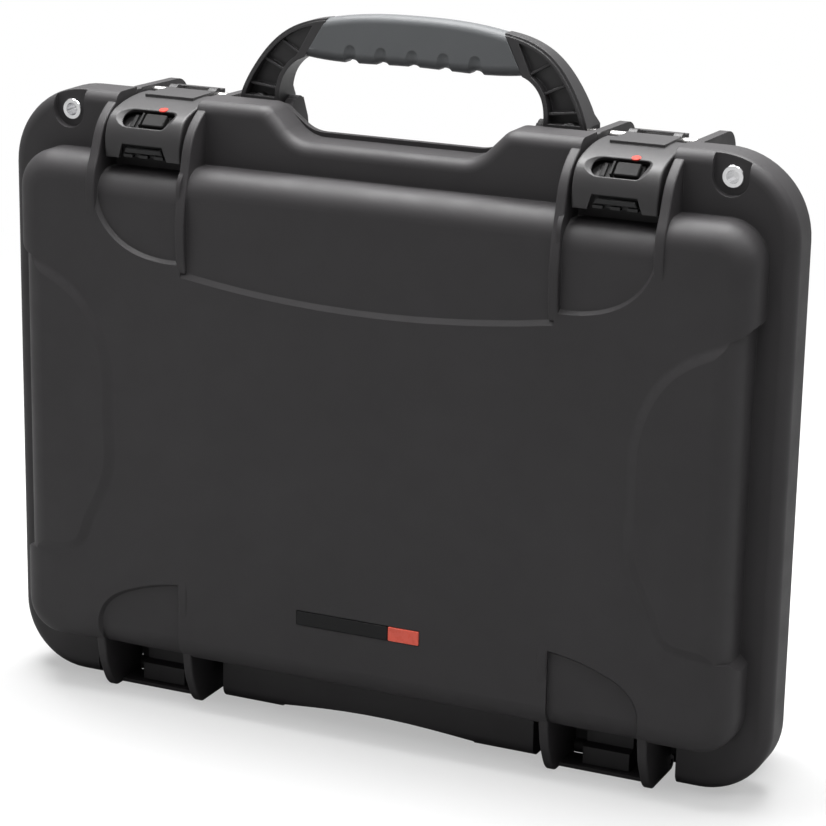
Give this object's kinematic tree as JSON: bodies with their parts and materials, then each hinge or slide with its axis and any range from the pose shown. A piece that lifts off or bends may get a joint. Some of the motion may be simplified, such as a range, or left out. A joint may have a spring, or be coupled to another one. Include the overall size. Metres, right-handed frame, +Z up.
{
  "type": "laptop hard case",
  "caption": "Moulded hard case for a laptop: hinged lid with a seal, twin over-centre latches with slide locks, padlock eyelets and a folding carrying handle.",
  "frame": {"origin": "on the floor, below the middle of the standing case", "axes": "+X across the case to the right as seen from the lid, +Y from the lid to the base, +Z up to the handle"},
  "size_m": [0.46, 0.109, 0.396],
  "materials": {
    "base_plastic": "fine satin grain moulded polypropylene",
    "claw_plastic": "satin moulded nylon",
    "eyelet_steel": "polished plated steel",
    "grip_rubber": "soft overmoulded rubber",
    "handle_plastic": "satin moulded nylon",
    "latch_plastic": "satin moulded nylon",
    "lid_foam": "open cell foam",
    "lid_plastic": "fine satin grain moulded polypropylene",
    "marker_enamel": "glossy red dot",
    "membrane_cloth": "breathable film",
    "pin_steel": "plain stainless rod",
    "plate_black": "glossy black",
    "plate_red": "glossy red",
    "seal_rubber": "soft cellular rubber",
    "slide_plastic": "satin moulded nylon",
    "spring_steel": "drawn spring wire",
    "tray_foam": "closed cell foam",
    "valve_plastic": "satin moulded nylon"
  },
  "bodies": {
    "base": {"base_shell": "base_plastic", "base_foam_tray": "tray_foam", "base_foam_pad": "tray_foam", "hinge_pin_left": "pin_steel", "hinge_pin_right": "pin_steel", "padlock_eyelet_base_left": "eyelet_steel", "padlock_eyelet_base_right": "eyelet_steel", "pivot_rod_left": "pin_steel", "pivot_rod_right": "pin_steel", "valve_body": "valve_plastic", "valve_nut": "valve_plastic", "valve_seal": "seal_rubber", "valve_membrane": "membrane_cloth"},
    "lid": {"lid_shell": "lid_plastic", "lid_gasket": "seal_rubber", "lid_foam": "lid_foam", "padlock_eyelet_lid_left": "eyelet_steel", "padlock_eyelet_lid_right": "eyelet_steel", "name_plate": "plate_black", "name_plate_end": "plate_red"},
    "handle": {"handle_frame": "handle_plastic", "handle_grip": "grip_rubber"},
    "latch_left": {"latch_lever_left": "latch_plastic", "claw_pin_left": "pin_steel", "latch_marker_left": "marker_enamel"},
    "claw_left": {"latch_claw_left": "claw_plastic", "claw_spring_left": "spring_steel"},
    "lock_left": {"slide_lock_left": "slide_plastic"},
    "latch_right": {"latch_lever_right": "latch_plastic", "claw_pin_right": "pin_steel", "latch_marker_right": "marker_enamel"},
    "claw_right": {"latch_claw_right": "claw_plastic", "claw_spring_right": "spring_steel"},
    "lock_right": {"slide_lock_right": "slide_plastic"}
  },
  "joints": [
    {"name": "lid_hinge", "type": "hinge", "parent": "base", "child": "lid", "pos_m": [0, -0.005, 0.004], "axis": [1, 0, 0], "range_deg": [0, 105]},
    {"name": "handle_fold", "type": "hinge", "parent": "base", "child": "handle", "pos_m": [0, 0.0155, 0.342], "axis": [-1, 0, 0], "range_deg": [0, 85]},
    {"name": "latch_left_lift", "type": "hinge", "parent": "base", "child": "latch_left", "pos_m": [-0.13745, 0.0155, 0.342], "axis": [-1, 0, 0], "range_deg": [0, 110]},
    {"name": "claw_left_release", "type": "hinge", "parent": "latch_left", "child": "claw_left", "pos_m": [-0.13745, -0.038, 0.3255], "axis": [-1, 0, 0], "range_deg": [0, 16], "stiffness_Nm_per_rad": 0.05, "springref_deg": -17.19},
    {"name": "lock_left_slide", "type": "slide", "parent": "latch_left", "child": "lock_left", "axis": [-1, 0, 0], "range_m": [0, 0.006]},
    {"name": "latch_right_lift", "type": "hinge", "parent": "base", "child": "latch_right", "pos_m": [0.13745, 0.0155, 0.342], "axis": [-1, 0, 0], "range_deg": [0, 110]},
    {"name": "claw_right_release", "type": "hinge", "parent": "latch_right", "child": "claw_right", "pos_m": [0.13745, -0.038, 0.3255], "axis": [-1, 0, 0], "range_deg": [0, 16], "stiffness_Nm_per_rad": 0.05, "springref_deg": -17.19},
    {"name": "lock_right_slide", "type": "slide", "parent": "latch_right", "child": "lock_right", "axis": [-1, 0, 0], "range_m": [0, 0.006]}
  ]
}
